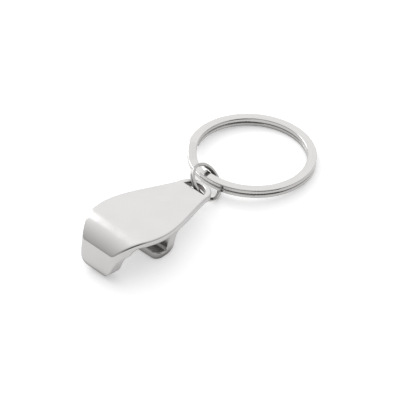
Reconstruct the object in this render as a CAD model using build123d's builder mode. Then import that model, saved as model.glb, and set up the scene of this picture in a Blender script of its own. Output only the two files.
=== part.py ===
"""Keychain bottle opener: a cast opener, a small link ring and a flat split key ring.

Frame: +X runs from the lifting lip to the key ring, +Z is up and the floor is z = 0.
The opener rests on its lip and its hook, so its plate leans down towards the eye.
The origin is under the middle of the whole object's box. Lengths are in millimetres.
"""

import os
from math import asin, atan2, cos, hypot, radians, sin

from build123d import *

# Plate and eye. Plate positions run from the start of the bend (0) towards the eye.
PLATE_LENGTH = 27.3
PLATE_THICKNESS = 1.3
PLATE_WIDTH = 17.9
WIDEST_AT = 3.2
WAIST_AT = 13.0
WAIST_WIDTH = 15.0
EYE_RADIUS = 4.5
EYE_BAR = 1.45
SLOT_WIDTH = 2.3

# Front bend and lip. The outline seen from above has its nose and its front width here.
# Depths run down from the plate's top face.
BEND_RADIUS = 7.85
BEND_ANGLE = 56
NOSE_AT = -2.6
NOSE_WIDTH = 14.8
FRONT_WIDTH = 9.3
FRONT_CORNER = 1.5
LIP_DEPTH = 10.2
LIP_WALL = 3.2
LIP_WIDTH = 9.0
LIP_FLANK_WIDTH = 12.4
LIP_FLANK_DEPTH = 3.9
LIP_CORNER = 4.2
LIP_ROOT_RADIUS = 2.2

# Hook under the plate, which catches the edge of the cap.
HOOK_TIP_AT = 5.6
HOOK_BACK_AT = 10.6
HOOK_DEPTH = 8.0
HOOK_WALL = 2.2
HOOK_FLOOR = 1.5
HOOK_ROOT_WIDTH = 16.2
HOOK_TIP_WIDTH = 13.4
HOOK_HEEL = 2.2
HOOK_ROOT_RADIUS = 1.8
HOOK_INNER_CORNER = 0.8
HOOK_TIP_CORNER = 1.8

# Small roundings: on the rim of the plate and bend, and elsewhere.
RIM_EDGE = 0.45
EDGE = 0.3

# How far an outline that only trims reaches past the shape.
PAST = 1.0

# Flat split key ring: two coils of flat wire.
RING_DIAMETER = 30.0
RING_BAND = 2.15
RING_WIRE = 1.05
RING_COIL_GAP = 0.04
RING_WIRE_CORNER = 0.25
RING_TILT = 3.7
RING_SIDE = 1.46
RING_CUT = 170
RING_STEP = 22
RING_STEP_END = 145

# Link ring: a small split ring of finer wire.
LINK_DIAMETER = 9.3
LINK_BAND = 0.8
LINK_WIRE = 0.43
LINK_COIL_GAP = 0.03
LINK_WIRE_CORNER = 0.15
LINK_NORMAL = (0.301, -0.675, 0.673)
LINK_SHIFT = (0.1, 0.25, 0.1)
LINK_CUT = 200
LINK_STEP = 24
LINK_STEP_END = 170

# Short straight pieces that follow the ring through its step.
STEP_PIECES = 4

# Gap between the eye's end and the key ring.
EYE_TO_RING = 2.15

# What follows from the sizes above: places in the opener's own plane.
front_x = -BEND_RADIUS * sin(radians(BEND_ANGLE))
bend_end_z = BEND_RADIUS * (cos(radians(BEND_ANGLE)) - 1)
foot_radius = LIP_WALL / 2
foot_x = front_x + foot_radius
foot_z = foot_radius - LIP_DEPTH
heel_x = HOOK_BACK_AT - HOOK_HEEL
heel_z = HOOK_HEEL - HOOK_DEPTH
eye_x = PLATE_LENGTH - EYE_RADIUS
slot_x = PLATE_LENGTH - EYE_BAR - SLOT_WIDTH

# The floor touches both the lip's foot and the hook's heel, which sets the lean of the plate.
feet_apart = hypot(heel_x - foot_x, heel_z - foot_z)
lean = atan2(heel_z - foot_z, heel_x - foot_x) - asin((HOOK_HEEL - foot_radius) / feet_apart)
ring_lean = radians(RING_TILT)


def turned(x, z, angle):
    """World X and Z of a point given in a plane that leans down towards +X by an angle."""
    return x * cos(angle) + z * sin(angle), z * cos(angle) - x * sin(angle)


def leaning_plane(x, y, z, angle):
    """A nearly level plane whose X axis leans down by an angle."""
    return Plane(origin=(x, y, z), x_dir=(cos(angle), 0, -sin(angle)), z_dir=(sin(angle), 0, cos(angle)))


def within(plane, standard):
    """One of the standard planes, standing in the given plane instead of the world."""
    return Plane(plane.location * standard.location)


# The key ring lies on its far edge and leans on the link at the near one.
ring_height = 2 * RING_WIRE + RING_COIL_GAP
ring_radius = RING_DIAMETER / 2
ring_drop = (ring_height - RING_WIRE_CORNER) * cos(ring_lean)
ring_z = ring_drop + (ring_radius - RING_WIRE_CORNER) * sin(ring_lean) + RING_WIRE_CORNER

# Along X: the opener from its front face, the gap, then the key ring. The origin is half way.
foot_world_x, foot_world_z = turned(foot_x, foot_z, lean)
opener_front = foot_world_x - foot_radius
opener_back = turned(PLATE_LENGTH, 0, lean)[0]
ring_reach = ring_radius * cos(ring_lean)
row_length = opener_back - opener_front + EYE_TO_RING + 2 * ring_reach
opener_x = -row_length / 2 - opener_front
opener_z = foot_radius - foot_world_z
ring_x = row_length / 2 - ring_reach

plate = leaning_plane(opener_x, -RING_SIDE, opener_z, lean)
plate_side = within(plate, Plane.XZ)
plate_front = within(plate, Plane.YZ)
key_ring_plane = leaning_plane(ring_x, 0, ring_z, ring_lean)


def floor_depth(x):
    """Where the floor lies in the plate's plane, at a place along the plate."""
    return (x * sin(lean) - opener_z) / cos(lean)


# Plate, bend and lip: the side profile, trimmed to the outlines seen from above and from the front,
# then rounded along the rim.
with BuildPart() as shell:
    with BuildSketch(plate_side) as shell_profile:
        inner_x = front_x + LIP_WALL
        with BuildLine():
            top = Line((PLATE_LENGTH, 0), (0, 0))
            bend = CenterArc((0, -BEND_RADIUS), BEND_RADIUS, 90, BEND_ANGLE)
            wall = Line(bend @ 1, (front_x, foot_z))
            foot = ThreePointArc(wall @ 1, (foot_x, -LIP_DEPTH), (inner_x, foot_z))
            Polyline(foot @ 1, (inner_x, -PLATE_THICKNESS), (PLATE_LENGTH, -PLATE_THICKNESS), top @ 0)
        make_face()
        inner_corner = shell_profile.vertices().sort_by_distance((inner_x, -PLATE_THICKNESS))[0]
        fillet(inner_corner, LIP_ROOT_RADIUS)
    extrude(amount=PLATE_WIDTH, both=True)

    with BuildSketch(plate) as top_outline:
        with BuildLine():
            eye_end = (eye_x, EYE_RADIUS)
            waist = (WAIST_AT, WAIST_WIDTH / 2)
            shoulder = (WIDEST_AT, PLATE_WIDTH / 2)
            cheek = (NOSE_AT, NOSE_WIDTH / 2)
            corner = (front_x, FRONT_WIDTH / 2)
            Spline(eye_end, waist, shoulder, cheek, corner)
            mirror(about=Plane.XZ)
            Line(corner, (corner[0], -corner[1]))
            ThreePointArc(eye_end, (PLATE_LENGTH, 0), (eye_x, -EYE_RADIUS))
        make_face()
        fillet(top_outline.vertices().group_by(Axis.X)[0], FRONT_CORNER)
    extrude(amount=2 * LIP_DEPTH, both=True, mode=Mode.INTERSECT)

    with BuildSketch(plate_front) as front_outline:
        with BuildLine():
            brow = (PLATE_WIDTH / 2 + PAST, -PLATE_THICKNESS)
            flank = (LIP_FLANK_WIDTH / 2, -LIP_FLANK_DEPTH)
            toe = (LIP_WIDTH / 2, -LIP_DEPTH)
            Spline(brow, flank, toe)
            mirror(about=Plane.YZ)
            Line(toe, (-toe[0], toe[1]))
            Polyline(brow, (brow[0], PAST), (-brow[0], PAST), (-brow[0], brow[1]))
        make_face()
        fillet(front_outline.vertices().group_by(Axis.Y)[0], LIP_CORNER)
    extrude(amount=2 * PLATE_LENGTH, both=True, mode=Mode.INTERSECT)

    def on_the_rim(edge):
        """Whether an edge runs round the top of the plate or down a side of the bend."""
        middle = plate.to_local_coords(edge @ 0.5)
        depth = -middle.Z if middle.X > 0 else BEND_RADIUS - hypot(middle.X, middle.Z + BEND_RADIUS)
        return edge.geom_type != GeomType.LINE and depth < EDGE and middle.Z > bend_end_z

    fillet(shell.edges().filter_by(on_the_rim), RIM_EDGE)

# Hook: a tongue that drops from the plate and turns forward under it.
with BuildPart() as hook:
    with BuildSketch(plate_side) as hook_profile:
        with BuildLine():
            inner = HOOK_BACK_AT - HOOK_WALL
            shelf = HOOK_FLOOR - HOOK_DEPTH
            seat = -PLATE_THICKNESS / 2
            under = -PLATE_THICKNESS
            heel = (HOOK_BACK_AT, floor_depth(HOOK_BACK_AT))
            back = Line(heel, (HOOK_BACK_AT, under - HOOK_ROOT_RADIUS))
            flare = RadiusArc(back @ 1, (HOOK_BACK_AT + HOOK_ROOT_RADIUS, under), HOOK_ROOT_RADIUS)
            Polyline(
                flare @ 1,
                ((flare @ 1).X, seat),
                (inner, seat),
                (inner, shelf),
                (HOOK_TIP_AT, shelf),
                (HOOK_TIP_AT, floor_depth(HOOK_TIP_AT)),
                back @ 0,
            )
        make_face()
        fillet(hook_profile.vertices().sort_by_distance(heel)[0], HOOK_HEEL)
        fillet(hook_profile.vertices().sort_by_distance((inner, shelf))[0], HOOK_INNER_CORNER)
    extrude(amount=PLATE_WIDTH, both=True)
    with BuildSketch(plate_front):
        with BuildLine():
            Polyline(
                (HOOK_ROOT_WIDTH / 2, 0),
                (HOOK_TIP_WIDTH / 2, -LIP_DEPTH),
                (-HOOK_TIP_WIDTH / 2, -LIP_DEPTH),
                (-HOOK_ROOT_WIDTH / 2, 0),
                close=True,
            )
        make_face()
    extrude(amount=PLATE_LENGTH, mode=Mode.INTERSECT)
    extrude(top_outline.sketch, amount=2 * HOOK_DEPTH, both=True, mode=Mode.INTERSECT)
    tip_edges = hook.faces().sort_by(Axis.X)[0].edges().sort_by(Axis.Y)
    fillet([tip_edges[0], tip_edges[-1]], HOOK_TIP_CORNER)
    below_root = hook.edges().filter_by(lambda e: plate.to_local_coords(e @ 0.5).Z < -HOOK_DEPTH / 2)
    fillet(below_root, EDGE)

with BuildPart() as opener_body:
    add(shell.part)
    add(hook.part)
    with BuildSketch(plate):
        with BuildLine():
            slot_radius = EYE_RADIUS - EYE_BAR
            slot_half = (slot_radius**2 - (slot_x - eye_x) ** 2) ** 0.5
            ThreePointArc((slot_x, -slot_half), (PLATE_LENGTH - EYE_BAR, 0), (slot_x, slot_half))
            Line((slot_x, slot_half), (slot_x, -slot_half))
        make_face()
    extrude(amount=2 * PLATE_THICKNESS, both=True, mode=Mode.SUBTRACT)
    plate_top = opener_body.faces().sort_by(Axis(plate.origin, plate.z_dir))[-1]
    fillet(plate_top.inner_wires().edges(), EDGE)
opener_body.part.label = "opener_body"


def wind_split_ring(plane, diameter, band, wire, gap, corner, cut, step_end, step):
    """Add two coils of flat wire and the step between them, hanging from a plane's origin.

    The upper coil starts at its cut end and runs round to the step, which drops to the lower coil.
    """
    radius = (diameter - band) / 2
    upper = -wire / 2
    lower = upper - wire - gap
    step_start = step_end - step
    lower_end_gap = step / 3

    def wire_face(angle, height):
        """The wire's cross-section at an angle round the ring."""
        turn = Location((0, 0, height), (0, 0, angle))
        with BuildSketch(Plane(plane.location * turn * Location((radius, 0, 0), (90, 0, 0)))) as face:
            RectangleRounded(band, wire, corner)
        return face.sketch

    def coil(start, end, height):
        wire_end = wire_face(start, height)
        revolve(wire_end, axis=Axis(plane.origin, plane.z_dir), revolution_arc=end - start)

    coil(cut, step_start + 360, upper)
    coil(step_end, step_start + 360 - lower_end_gap, lower)
    ways_down = [k / STEP_PIECES for k in range(STEP_PIECES + 1)]
    drop = [wire_face(step_start + step * way, upper + (lower - upper) * way) for way in ways_down]
    for start, end in zip(drop, drop[1:]):
        loft([start, end], ruled=True)


with BuildPart() as key_ring:
    wind_split_ring(
        key_ring_plane,
        RING_DIAMETER,
        RING_BAND,
        RING_WIRE,
        RING_COIL_GAP,
        RING_WIRE_CORNER,
        RING_CUT,
        RING_STEP_END,
        RING_STEP,
    )
key_ring.part.label = "key_ring"

# The link goes through the eye and round the key ring's band, between the two centres.
bar_in_row = plate.from_local_coords((PLATE_LENGTH - EYE_BAR / 2, 0, -PLATE_THICKNESS / 2))
band_in_row = key_ring_plane.from_local_coords((-(RING_DIAMETER - RING_BAND) / 2, 0, -ring_height / 2))
link_height = 2 * LINK_WIRE + LINK_COIL_GAP
link_middle = (Vector(*bar_in_row) + Vector(*band_in_row)) / 2 + Vector(*LINK_SHIFT)
link_axis = Vector(*LINK_NORMAL).normalized()
link_plane = Plane(origin=link_middle + link_axis * (link_height / 2), z_dir=link_axis)

with BuildPart() as link_ring:
    wind_split_ring(
        link_plane,
        LINK_DIAMETER,
        LINK_BAND,
        LINK_WIRE,
        LINK_COIL_GAP,
        LINK_WIRE_CORNER,
        LINK_CUT,
        LINK_STEP_END,
        LINK_STEP,
    )
link_ring.part.label = "link_ring"

os.makedirs("parts", exist_ok=True)
export_step(opener_body.part, "parts/opener_body.step")
export_step(link_ring.part, "parts/link_ring.step")
export_step(key_ring.part, "parts/key_ring.step")
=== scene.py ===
"""Keychain bottle opener: surface finishes, floor, lights and camera.

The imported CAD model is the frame, and its three pieces keep their shape. Every length here is
in metres unless its name or unit says millimetres.
"""

import math

import bpy
from bpy.props import FloatProperty, FloatVectorProperty, PointerProperty, StringProperty
from mathutils import Matrix, Vector


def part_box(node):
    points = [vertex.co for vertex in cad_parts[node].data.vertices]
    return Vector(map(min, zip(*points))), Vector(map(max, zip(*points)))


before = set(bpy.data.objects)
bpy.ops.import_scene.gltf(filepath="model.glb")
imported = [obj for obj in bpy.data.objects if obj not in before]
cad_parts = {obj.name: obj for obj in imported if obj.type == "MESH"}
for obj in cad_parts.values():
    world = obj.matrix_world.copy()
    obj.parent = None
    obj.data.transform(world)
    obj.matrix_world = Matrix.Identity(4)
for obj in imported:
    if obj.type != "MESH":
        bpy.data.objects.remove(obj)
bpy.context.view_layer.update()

bl_info = {
    "name": "Keychain bottle opener",
    "version": (1, 0, 0),
    "blender": (4, 5, 0),
    "location": "3D View > Sidebar > Opener",
    "description": "Finishes, floor, lights and camera for a keychain bottle opener",
    "category": "Object",
}

MM = 0.001

# Places in the row frame, and directions as seen from the object.
VIEW_CENTRE = Vector((0.225, -0.85, 0.0)) * MM
BEND_MIDDLE = Vector((-30.0, 0.0, 8.0)) * MM
TO_SOFTBOX = Vector((0.280, 0.827, 0.487))
SOFTBOX_LONG_SIDE = Vector((-0.263, 0.850, -0.457))
TO_BRIGHT_SIDE = (0.60, 0.57, 0.56)
TO_FLAG = (-0.30, -0.86, 0.41)


def linear(hex_colour):
    """An sRGB hex colour as a linear RGBA tuple."""
    channels = [int(hex_colour[k : k + 2], 16) / 255 for k in (1, 3, 5)]
    return (*(c / 12.92 if c <= 0.04045 else ((c + 0.055) / 1.055) ** 2.4 for c in channels), 1.0)


def add_node(tree, kind, sockets=None, **settings):
    """Add a node. A socket's value is a constant, or another node's output to link."""
    node = tree.nodes.new(kind)
    for name, value in settings.items():
        setattr(node, name, value)
    for name, value in (sockets or {}).items():
        if isinstance(value, bpy.types.NodeSocket):
            tree.links.new(value, node.inputs[name])
        else:
            node.inputs[name].default_value = value
    return node


def new_material(name):
    """An empty node material and its tree."""
    material = bpy.data.materials.new(name)
    material.use_nodes = True
    material.node_tree.nodes.clear()
    return material, material.node_tree


def surface_position(tree):
    """Position on the piece in millimetres, in the row frame."""
    place = add_node(tree, "ShaderNodeTexCoord").outputs["Object"]
    return add_node(
        tree, "ShaderNodeVectorMath", {0: place, "Scale": 1 / MM}, operation="SCALE"
    ).outputs[0]


def edge_mask(tree, reach_mm):
    """1 along the piece's sharp edges and 0 on its broad faces."""
    rounded = add_node(tree, "ShaderNodeBevel", {"Radius": reach_mm * MM}, samples=8).outputs[0]
    facing = add_node(tree, "ShaderNodeNewGeometry").outputs["Normal"]
    same = add_node(
        tree, "ShaderNodeVectorMath", {0: rounded, 1: facing}, operation="DOT_PRODUCT"
    ).outputs["Value"]
    return add_node(
        tree, "ShaderNodeMapRange", {"Value": same, "From Min": 0.995, "From Max": 0.90}
    ).outputs[0]


def painted_shade_mask(tree, reach_mm):
    """0 on open faces, rising to 1 in the piece's recesses: ambient occlusion that masks painted shade."""
    openness = add_node(
        tree, "ShaderNodeAmbientOcclusion", {"Distance": reach_mm * MM}, samples=12
    ).outputs["AO"]
    return add_node(
        tree, "ShaderNodeMapRange", {"Value": openness, "From Min": 0.85, "From Max": 0.4}
    ).outputs[0]


def paint(piece, material):
    """Every face of the piece takes the material."""
    piece.data.materials.clear()
    piece.data.materials.append(material)


class OpenerFinish(bpy.types.PropertyGroup):
    nickel: StringProperty(
        name="Nickel", description="Colour of the bright nickel, sRGB hex", default="#C0BFBE"
    )
    thin_nickel: StringProperty(
        name="Thin nickel", description="Colour where the nickel is thin, sRGB hex", default="#BAB9B8"
    )
    # Painted shade: the dark colour that the recesses take.
    recess_shade_colour: StringProperty(
        name="Recesses", description="Colour of the shaded recesses, sRGB hex", default="#4A4441"
    )
    recess_reach_mm: FloatProperty(
        name="Recess reach", description="How far off a wall still shades a recess, mm", default=4.0
    )
    roughness: FloatProperty(
        name="Roughness", description="Roughness of the polished faces", default=0.16, min=0, max=1
    )
    ripple_mm: FloatProperty(
        name="Casting ripple", description="Wavelength of the casting's ripple, mm", default=5.0
    )
    ripple_depth_mm: FloatProperty(
        name="Ripple depth", description="Depth of the casting's ripple, mm", default=0.05, precision=4
    )
    buffing_mm: FloatProperty(
        name="Buffing marks", description="Spacing of the buffing marks, mm", default=0.45
    )
    buffing_depth_mm: FloatProperty(
        name="Buffing depth", description="Depth of the buffing marks, mm", default=0.0006, precision=4
    )
    softened_mm: FloatProperty(
        name="Softened edges", description="How far the buffing rounds the edges, mm", default=0.45
    )
    edge_reach_mm: FloatProperty(
        name="Edge reach", description="Width of the extra polish along the edges, mm", default=0.25
    )


class WireFinish(bpy.types.PropertyGroup):
    nickel: StringProperty(
        name="Nickel", description="Colour of the nickel on the wire, sRGB hex", default="#C0BFBE"
    )
    thin_nickel: StringProperty(
        name="Thin nickel", description="Colour along the rolling marks, sRGB hex", default="#B6B4B2"
    )
    # Painted shade: the dark colour between the coils.
    coil_gap_shade: StringProperty(
        name="Between coils", description="Colour between the coils, sRGB hex", default="#4A4644"
    )
    roughness: FloatProperty(
        name="Roughness", description="Roughness of the wire", default=0.09, min=0, max=1
    )
    ripple_mm: FloatProperty(
        name="Wire ripple", description="Wavelength of the ripple in the wire's faces, mm", default=3.0
    )
    ripple_depth_mm: FloatProperty(
        name="Ripple depth", description="Depth of the wire's ripple, mm", default=0.006, precision=4
    )
    rolling_mm: FloatProperty(
        name="Rolling marks", description="Spacing of the marks along the wire, mm", default=0.35
    )
    rolling_depth_mm: FloatProperty(
        name="Rolling depth", description="Depth of the rolling marks, mm", default=0.0005, precision=4
    )
    key_ring_axis: FloatVectorProperty(
        name="Key ring axis",
        description="Direction of the key ring's axis",
        default=(0.0645, 0.0, 0.9979),
        subtype="DIRECTION",
    )
    key_ring_reach_mm: FloatProperty(
        name="Key ring reach", description="How far off one coil shades the other, mm", default=2.2
    )
    link_axis: FloatVectorProperty(
        name="Link axis",
        description="Direction of the link ring's axis",
        default=(0.301, -0.675, 0.673),
        subtype="DIRECTION",
    )
    link_reach_mm: FloatProperty(
        name="Link reach", description="How far off one fine coil shades the other, mm", default=0.9
    )


class StageSettings(bpy.types.PropertyGroup):
    floor_colour: StringProperty(
        name="Floor", description="Colour of the acrylic floor, sRGB hex", default="#E6E6E6"
    )
    floor_glow: FloatProperty(
        name="Floor glow", description="Light that comes up through the floor", default=0.44
    )
    floor_size: FloatProperty(
        name="Floor size", description="Side of the floor", default=4.0, unit="LENGTH"
    )
    room_dim: FloatProperty(
        name="Dim side", description="Brightness of the room on the camera's side", default=0.60
    )
    room_bright: FloatProperty(
        name="Bright side", description="Brightness of the room opposite the camera", default=1.5
    )
    flag: FloatProperty(
        name="Flag", description="Share of the room's light that the dark flag lets by", default=0.16
    )
    softbox_glow: FloatProperty(name="Softbox", description="Brightness of the softbox", default=3.5)
    softbox_width: FloatProperty(
        name="Softbox width", description="Short side of the softbox", default=0.07, unit="LENGTH"
    )
    softbox_length: FloatProperty(
        name="Softbox length", description="Long side of the softbox", default=0.12, unit="LENGTH"
    )
    softbox_distance: FloatProperty(
        name="Softbox distance", description="Softbox from the bend", default=0.2, unit="LENGTH"
    )
    softbox_slide: FloatProperty(
        name="Softbox slide", description="Shift along its long side", default=-0.006, unit="LENGTH"
    )
    azimuth: FloatProperty(
        name="Azimuth", description="Camera's azimuth", default=math.radians(-45.97), subtype="ANGLE"
    )
    elevation: FloatProperty(
        name="Elevation", description="Camera's elevation", default=math.radians(40.71), subtype="ANGLE"
    )
    distance: FloatProperty(
        name="Distance", description="Camera from its target", default=0.5, unit="LENGTH"
    )
    lens_mm: FloatProperty(
        name="Lens", description="Focal length on a 36 mm sensor, mm", default=198.0
    )


class KEYCHAIN_OT_finish_opener(bpy.types.Operator):
    """Give the cast opener its bright nickel finish"""

    bl_idname = "keychain.finish_opener"
    bl_label = "Finish the opener"

    def execute(self, context):
        finish = context.scene.opener_finish
        # Zinc die casting, buffed and plated with bright nickel: a near mirror in a slightly warm
        # grey, with gentle ripples from the casting and faint marks along the buffing direction.
        material, tree = new_material("bright_nickel_on_cast_zinc")
        place = surface_position(tree)
        ripple = add_node(
            tree,
            "ShaderNodeTexNoise",
            {"Vector": place, "Scale": 1 / finish.ripple_mm, "Detail": 1.0, "Roughness": 0.4},
        ).outputs["Fac"]
        # Real buffing marks are a few hundredths of a millimetre apart, too fine to show, so these
        # are coarser. Each is some 17 times as long as it is wide.
        across = 1 / finish.buffing_mm
        stretched = add_node(
            tree, "ShaderNodeMapping", {"Vector": place, "Scale": (0.06 * across, across, across)}
        ).outputs[0]
        buffing = add_node(
            tree,
            "ShaderNodeTexNoise",
            {"Vector": stretched, "Scale": 1.0, "Detail": 3.0, "Roughness": 0.6},
        ).outputs["Fac"]
        edges = edge_mask(tree, finish.edge_reach_mm)
        # Painted shade in the recesses, from ambient occlusion.
        recess = painted_shade_mask(tree, finish.recess_reach_mm)
        plating = add_node(
            tree,
            "ShaderNodeMix",
            {"Factor": ripple, "A": linear(finish.nickel), "B": linear(finish.thin_nickel)},
            data_type="RGBA",
        ).outputs["Result"]
        # Painted shade: the colour darkens towards the recess colour where the occlusion mask rises.
        colour = add_node(
            tree,
            "ShaderNodeMix",
            {"Factor": recess, "A": plating, "B": linear(finish.recess_shade_colour)},
            data_type="RGBA",
        ).outputs["Result"]
        satin = add_node(
            tree,
            "ShaderNodeMapRange",
            {
                "Value": buffing,
                "From Min": 0.35,
                "From Max": 0.7,
                "To Min": finish.roughness,
                "To Max": finish.roughness + 0.08,
            },
        ).outputs[0]
        # The wheel bears hardest on the edges, so they are smoother.
        polished = add_node(tree, "ShaderNodeMath", {0: edges, 1: -0.05}, operation="MULTIPLY").outputs[0]
        roughness = add_node(tree, "ShaderNodeMath", {0: satin, 1: polished}, operation="ADD").outputs[0]
        softened = add_node(
            tree, "ShaderNodeBevel", {"Radius": finish.softened_mm * MM}, samples=16
        ).outputs[0]
        waves = add_node(
            tree,
            "ShaderNodeBump",
            {"Height": ripple, "Distance": finish.ripple_depth_mm * MM, "Normal": softened},
        ).outputs[0]
        marks = add_node(
            tree,
            "ShaderNodeBump",
            {"Height": buffing, "Distance": finish.buffing_depth_mm * MM, "Normal": waves},
        ).outputs[0]
        metal = add_node(
            tree,
            "ShaderNodeBsdfPrincipled",
            {"Base Color": colour, "Metallic": 1.0, "Roughness": roughness, "Normal": marks},
        )
        add_node(tree, "ShaderNodeOutputMaterial", {"Surface": metal.outputs[0]})
        paint(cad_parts["opener_body"], material)
        return {"FINISHED"}


def wound_wire_finish(name, piece, axis, reach_mm, finish):
    """Bright nickel on rolled wire, with its marks running round the ring's axis."""
    # Flat steel wire, rolled, wound and barrel plated with nickel: bright, with fine rolling
    # marks that run along the wire and break its reflections into long streaks.
    material, tree = new_material(name)
    low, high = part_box(piece.name)
    centre = (Vector(low) + Vector(high)) / 2 / MM
    turn = Vector(axis).to_track_quat("Z", "X").to_euler()
    ring_place = add_node(
        tree,
        "ShaderNodeMapping",
        {"Vector": surface_position(tree), "Location": centre, "Rotation": turn},
        vector_type="TEXTURE",
    ).outputs[0]
    parts = add_node(tree, "ShaderNodeSeparateXYZ", {0: ring_place}).outputs
    level = add_node(tree, "ShaderNodeCombineXYZ", {"X": parts["X"], "Y": parts["Y"]}).outputs[0]
    radius = add_node(tree, "ShaderNodeVectorMath", {0: level}, operation="LENGTH").outputs["Value"]
    outward = add_node(tree, "ShaderNodeVectorMath", {0: level}, operation="NORMALIZE").outputs[0]
    bearing = add_node(tree, "ShaderNodeSeparateXYZ", {0: outward}).outputs
    # The noise changes fast across the wire and slowly round the ring, where it follows a circle
    # and so has no seam. Real rolling marks are finer than these and wouldn't show.
    fast = 1 / finish.rolling_mm
    slow = 2.0
    across = add_node(tree, "ShaderNodeMath", {0: radius, 1: fast}, operation="MULTIPLY").outputs[0]
    upward = add_node(tree, "ShaderNodeMath", {0: parts["Z"], 1: fast}, operation="MULTIPLY").outputs[0]
    round_x = add_node(tree, "ShaderNodeMath", {0: bearing["X"], 1: slow}, operation="MULTIPLY").outputs[0]
    round_y = add_node(tree, "ShaderNodeMath", {0: bearing["Y"], 1: slow}, operation="MULTIPLY").outputs[0]
    mark_place = add_node(tree, "ShaderNodeCombineXYZ", {"X": across, "Y": upward, "Z": round_x}).outputs[0]
    rolling = add_node(
        tree,
        "ShaderNodeTexNoise",
        {"Vector": mark_place, "W": round_y, "Scale": 1.0, "Detail": 3.0, "Roughness": 0.6},
        noise_dimensions="4D",
    ).outputs["Fac"]
    ripple = add_node(
        tree,
        "ShaderNodeTexNoise",
        {"Vector": ring_place, "Scale": 1 / finish.ripple_mm, "Detail": 1.0, "Roughness": 0.4},
    ).outputs["Fac"]
    plating = add_node(
        tree,
        "ShaderNodeMix",
        {"Factor": rolling, "A": linear(finish.nickel), "B": linear(finish.thin_nickel)},
        data_type="RGBA",
    ).outputs["Result"]
    # Painted shade: the colour darkens between the coils, where the ambient occlusion mask rises.
    colour = add_node(
        tree,
        "ShaderNodeMix",
        {"Factor": painted_shade_mask(tree, reach_mm), "A": plating, "B": linear(finish.coil_gap_shade)},
        data_type="RGBA",
    ).outputs["Result"]
    roughness = add_node(
        tree,
        "ShaderNodeMapRange",
        {
            "Value": rolling,
            "From Min": 0.35,
            "From Max": 0.7,
            "To Min": finish.roughness,
            "To Max": finish.roughness + 0.08,
        },
    ).outputs[0]
    waves = add_node(
        tree, "ShaderNodeBump", {"Height": ripple, "Distance": finish.ripple_depth_mm * MM}
    ).outputs[0]
    marks = add_node(
        tree,
        "ShaderNodeBump",
        {"Height": rolling, "Distance": finish.rolling_depth_mm * MM, "Normal": waves},
    ).outputs[0]
    metal = add_node(
        tree,
        "ShaderNodeBsdfPrincipled",
        {"Base Color": colour, "Metallic": 1.0, "Roughness": roughness, "Normal": marks},
    )
    add_node(tree, "ShaderNodeOutputMaterial", {"Surface": metal.outputs[0]})
    paint(piece, material)


class KEYCHAIN_OT_finish_key_ring(bpy.types.Operator):
    """Give the flat split key ring its nickel plated wire"""

    bl_idname = "keychain.finish_key_ring"
    bl_label = "Finish the key ring"

    def execute(self, context):
        finish = context.scene.wire_finish
        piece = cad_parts["key_ring"]
        axis, reach_mm = finish.key_ring_axis, finish.key_ring_reach_mm
        wound_wire_finish("nickel_on_flat_steel_wire", piece, axis, reach_mm, finish)
        return {"FINISHED"}


class KEYCHAIN_OT_finish_link_ring(bpy.types.Operator):
    """Give the small link ring its nickel plated wire"""

    bl_idname = "keychain.finish_link_ring"
    bl_label = "Finish the link ring"

    def execute(self, context):
        finish = context.scene.wire_finish
        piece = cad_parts["link_ring"]
        axis, reach_mm = finish.link_axis, finish.link_reach_mm
        wound_wire_finish("nickel_on_fine_steel_wire", piece, axis, reach_mm, finish)
        return {"FINISHED"}


def aim(thing, place, target, up):
    """Stand a lamp or camera at a place and turn it to the target, with its own Y axis towards up."""
    back = (place - target).normalized()
    right = Vector(up).cross(back).normalized()
    thing.matrix_world = Matrix((right, back.cross(right), back)).transposed().to_4x4()
    thing.location = place


def build_camera(scene, stage):
    """The camera stands above the near side of the lip, with a long lens."""
    flat = math.cos(stage.elevation)
    back = Vector(
        (math.sin(stage.azimuth) * flat, -math.cos(stage.azimuth) * flat, math.sin(stage.elevation))
    )
    camera = bpy.data.objects.new("camera", bpy.data.cameras.new("camera"))
    camera.data.sensor_width = 36.0
    camera.data.lens = stage.lens_mm
    camera.data.clip_start = 0.01
    aim(camera, VIEW_CENTRE + back * stage.distance, VIEW_CENTRE, (0.0, 0.0, 1.0))
    scene.collection.objects.link(camera)
    scene.camera = camera


def build_floor(scene, stage):
    """The floor is one flat sheet at the height that the opener rests on."""
    # Cast opal acrylic, lit from below: matt white, and shadows on it stay pale.
    material, tree = new_material("opal_acrylic")
    haze = add_node(tree, "ShaderNodeTexNoise", {"Scale": 9.0, "Detail": 2.0}).outputs["Fac"]
    roughness = add_node(
        tree, "ShaderNodeMapRange", {"Value": haze, "To Min": 0.82, "To Max": 0.94}
    ).outputs[0]
    acrylic = add_node(
        tree,
        "ShaderNodeBsdfPrincipled",
        {
            "Base Color": linear(stage.floor_colour),
            "Roughness": roughness,
            "Specular IOR Level": 0.1,
            "Emission Color": linear("#FFFFFF"),
            "Emission Strength": stage.floor_glow,
        },
    )
    add_node(tree, "ShaderNodeOutputMaterial", {"Surface": acrylic.outputs[0]})
    half = stage.floor_size / 2
    corners = [(-half, -half, 0), (half, -half, 0), (half, half, 0), (-half, half, 0)]
    mesh = bpy.data.meshes.new("floor")
    mesh.from_pydata(corners, [], [(0, 1, 2, 3)])
    floor = bpy.data.objects.new("floor", mesh)
    paint(floor, material)
    scene.collection.objects.link(floor)


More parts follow.
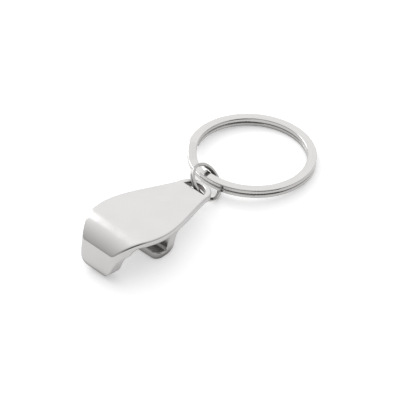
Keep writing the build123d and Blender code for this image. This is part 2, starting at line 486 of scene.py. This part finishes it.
def build_room(scene, stage):
    """Soft light that grows towards the far side, and a dark flag that draws a line along edges."""
    world = bpy.data.worlds.new("studio")
    world.use_nodes = True
    tree = world.node_tree
    tree.nodes.clear()
    direction = add_node(tree, "ShaderNodeTexCoord").outputs["Generated"]
    brightward = add_node(
        tree, "ShaderNodeVectorMath", {0: direction, 1: TO_BRIGHT_SIDE}, operation="DOT_PRODUCT"
    ).outputs["Value"]
    soft = add_node(
        tree,
        "ShaderNodeMapRange",
        {
            "Value": brightward,
            "From Min": 0.15,
            "From Max": 1.0,
            "To Min": stage.room_dim,
            "To Max": stage.room_bright,
        },
    ).outputs[0]
    flagward = add_node(
        tree, "ShaderNodeVectorMath", {0: direction, 1: TO_FLAG}, operation="DOT_PRODUCT"
    ).outputs["Value"]
    flag = add_node(
        tree,
        "ShaderNodeMapRange",
        {"Value": flagward, "From Min": 0.76, "From Max": 0.90, "To Min": 1.0, "To Max": stage.flag},
        interpolation_type="SMOOTHSTEP",
    ).outputs[0]
    glow = add_node(tree, "ShaderNodeMath", {0: soft, 1: flag}, operation="MULTIPLY").outputs[0]
    sky = add_node(
        tree, "ShaderNodeBackground", {"Color": (1.0, 1.0, 1.0, 1.0), "Strength": glow}
    ).outputs[0]
    add_node(tree, "ShaderNodeOutputWorld", {"Surface": sky})
    scene.world = world


def build_softbox(scene, stage):
    """One softbox beyond the opener, for the highlight along its bend."""
    softbox = bpy.data.lights.new("softbox", "AREA")
    softbox.shape = "RECTANGLE"
    softbox.size = stage.softbox_width
    softbox.size_y = stage.softbox_length
    softbox.energy = stage.softbox_glow * math.pi * stage.softbox_width * stage.softbox_length
    lamp = bpy.data.objects.new("softbox", softbox)
    slide = SOFTBOX_LONG_SIDE * stage.softbox_slide
    place = BEND_MIDDLE + TO_SOFTBOX * stage.softbox_distance + slide
    aim(lamp, place, BEND_MIDDLE, SOFTBOX_LONG_SIDE)
    scene.collection.objects.link(lamp)


class KEYCHAIN_OT_build_stage(bpy.types.Operator):
    """Build the floor, the lights and the camera"""

    bl_idname = "keychain.build_stage"
    bl_label = "Build the stage"

    def execute(self, context):
        scene = context.scene
        stage = scene.stage_settings
        scene.view_settings.view_transform = "Standard"
        build_camera(scene, stage)
        build_floor(scene, stage)
        build_room(scene, stage)
        build_softbox(scene, stage)
        return {"FINISHED"}


class VIEW3D_PT_keychain_opener(bpy.types.Panel):
    bl_label = "Keychain bottle opener"
    bl_space_type = "VIEW_3D"
    bl_region_type = "UI"
    bl_category = "Opener"

    def draw(self, context):
        scene = context.scene
        for group, operators in (
            (scene.opener_finish, (KEYCHAIN_OT_finish_opener,)),
            (scene.wire_finish, (KEYCHAIN_OT_finish_key_ring, KEYCHAIN_OT_finish_link_ring)),
            (scene.stage_settings, (KEYCHAIN_OT_build_stage,)),
        ):
            box = self.layout.box()
            for name in group.bl_rna.properties.keys():
                if name not in ("rna_type", "name"):
                    box.prop(group, name)
            for operator in operators:
                box.operator(operator.bl_idname)


CLASSES = (
    OpenerFinish,
    WireFinish,
    StageSettings,
    KEYCHAIN_OT_finish_opener,
    KEYCHAIN_OT_finish_key_ring,
    KEYCHAIN_OT_finish_link_ring,
    KEYCHAIN_OT_build_stage,
    VIEW3D_PT_keychain_opener,
)


def register():
    for cls in CLASSES:
        bpy.utils.register_class(cls)
    bpy.types.Scene.opener_finish = PointerProperty(type=OpenerFinish)
    bpy.types.Scene.wire_finish = PointerProperty(type=WireFinish)
    bpy.types.Scene.stage_settings = PointerProperty(type=StageSettings)


def unregister():
    del bpy.types.Scene.stage_settings
    del bpy.types.Scene.wire_finish
    del bpy.types.Scene.opener_finish
    for cls in reversed(CLASSES):
        bpy.utils.unregister_class(cls)


def main():
    """Build everything."""
    register()
    bpy.ops.keychain.finish_opener()
    bpy.ops.keychain.finish_key_ring()
    bpy.ops.keychain.finish_link_ring()
    bpy.ops.keychain.build_stage()


if __name__ == "__main__":
    main()
